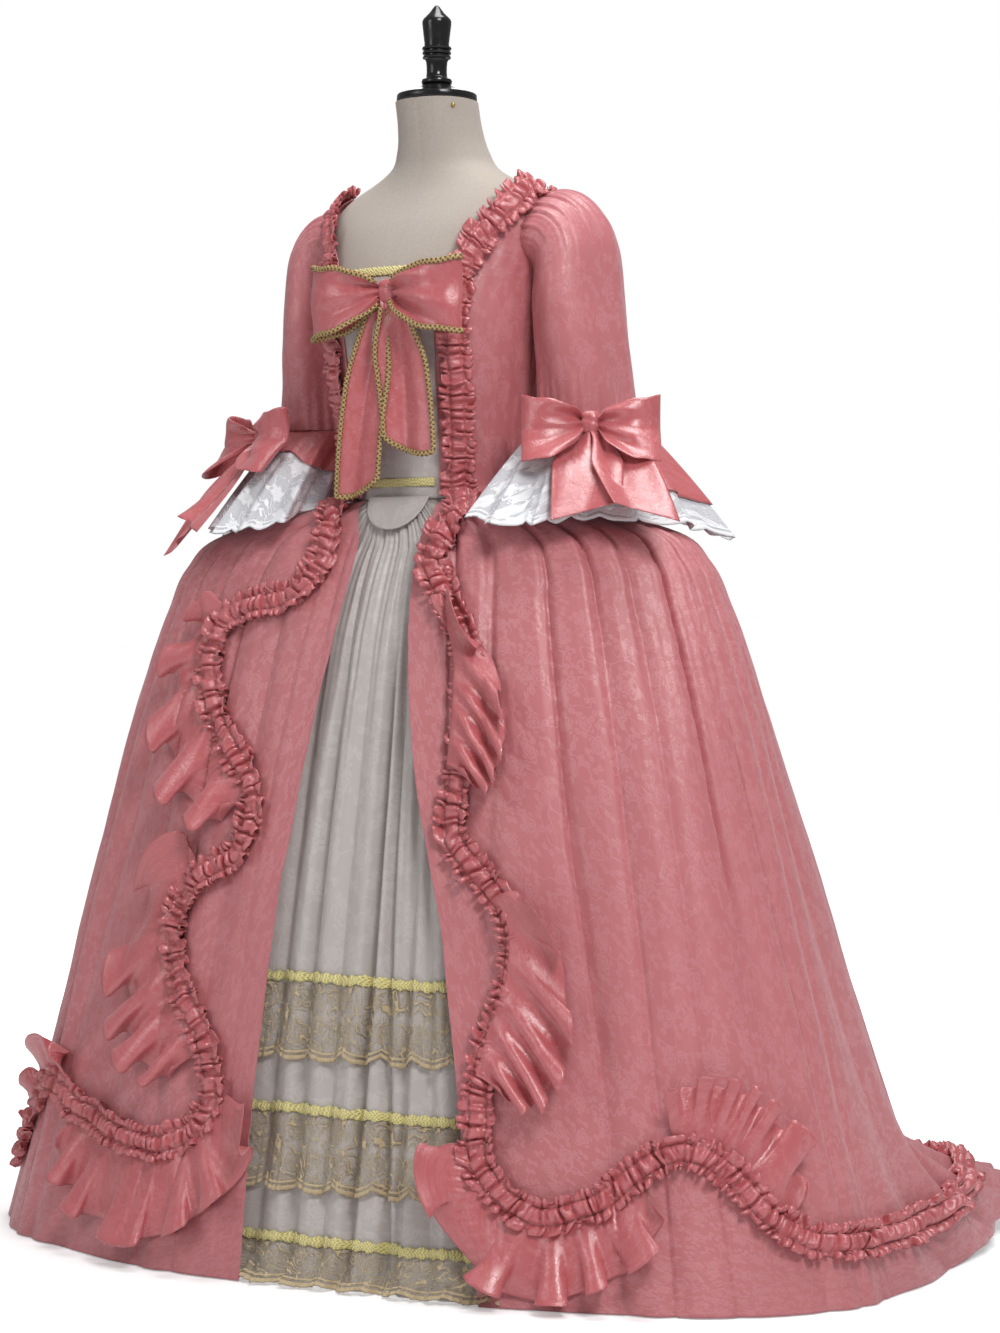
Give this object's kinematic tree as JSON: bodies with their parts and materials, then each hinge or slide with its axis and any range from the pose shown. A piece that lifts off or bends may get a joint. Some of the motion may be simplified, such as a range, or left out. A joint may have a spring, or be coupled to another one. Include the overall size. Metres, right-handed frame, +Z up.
{
  "type": "historic ball gown on a limbless dress form",
  "caption": "Open hooped robe with a train over a gathered petticoat, with stomacher, ruched trims, bows and lace sleeve flounces, standing on a limbless dress form.",
  "frame": {"origin": "middle of the underside of the stand, on the floor", "axes": "+Z up, the gown faces -Y, +X towards the wearer's left, the train runs to +Y"},
  "size_m": [1.3337, 1.392, 1.6516],
  "materials": {
    "rose_satin": "jacquard satin with a soft sheen",
    "rose_trim": "plain and jacquard satin, gathered",
    "cream_satin": "cream jacquard satin",
    "yellow_braid": "woven scalloped braid",
    "gold_lace": "gold net lace",
    "white_lace": "white net lace",
    "linen": "natural linen over padding",
    "black_lacquer": "black lacquer"
  },
  "bodies": {
    "root": {"bodice_back": "rose_satin", "bodice_front_left": "rose_satin", "bodice_front_right": "rose_satin", "braid_hem": "yellow_braid", "braid_middle": "yellow_braid", "braid_top": "yellow_braid", "cuff_flounce_left": "rose_trim", "cuff_flounce_right": "rose_trim", "cuff_lace_left": "white_lace", "cuff_lace_right": "white_lace", "dress_form": "linen", "finial": "black_lacquer", "flounce_left_hem": "rose_trim", "flounce_left_hip": "rose_trim", "flounce_left_knee": "rose_trim", "flounce_left_side": "rose_trim", "flounce_right_hem": "rose_trim", "flounce_right_hip": "rose_trim", "flounce_right_knee": "rose_trim", "flounce_right_side": "rose_trim", "front_bow_knot": "rose_trim", "front_bow_loop_left": "rose_trim", "front_bow_loop_right": "rose_trim", "front_bow_tail_left": "rose_trim", "front_bow_tail_right": "rose_trim", "lace_tier_hem": "gold_lace", "lace_tier_middle": "gold_lace", "lace_tier_top": "gold_lace", "neck_band_left": "rose_trim", "neck_band_right": "rose_trim", "neck_cap": "black_lacquer", "petticoat_back": "cream_satin", "petticoat_front": "cream_satin", "robe_skirt_left": "rose_satin", "robe_skirt_right": "rose_satin", "robing_left": "rose_trim", "robing_right": "rose_trim", "skirt_band_left": "rose_trim", "skirt_band_right": "rose_trim", "sleeve_bow_left_knot": "rose_trim", "sleeve_bow_left_loop_left": "rose_trim", "sleeve_bow_left_loop_right": "rose_trim", "sleeve_bow_left_tail_left": "rose_trim", "sleeve_bow_left_tail_right": "rose_trim", "sleeve_bow_right_knot": "rose_trim", "sleeve_bow_right_loop_left": "rose_trim", "sleeve_bow_right_loop_right": "rose_trim", "sleeve_bow_right_tail_left": "rose_trim", "sleeve_bow_right_tail_right": "rose_trim", "sleeve_left": "rose_satin", "sleeve_right": "rose_satin", "stand_base": "black_lacquer", "stand_pole": "black_lacquer", "stomacher": "cream_satin", "stomacher_braid_top": "yellow_braid", "stomacher_braid_waist": "yellow_braid", "stomacher_tab": "cream_satin", "train_band_left": "rose_trim", "train_band_right": "rose_trim"}
  },
  "joints": []
}
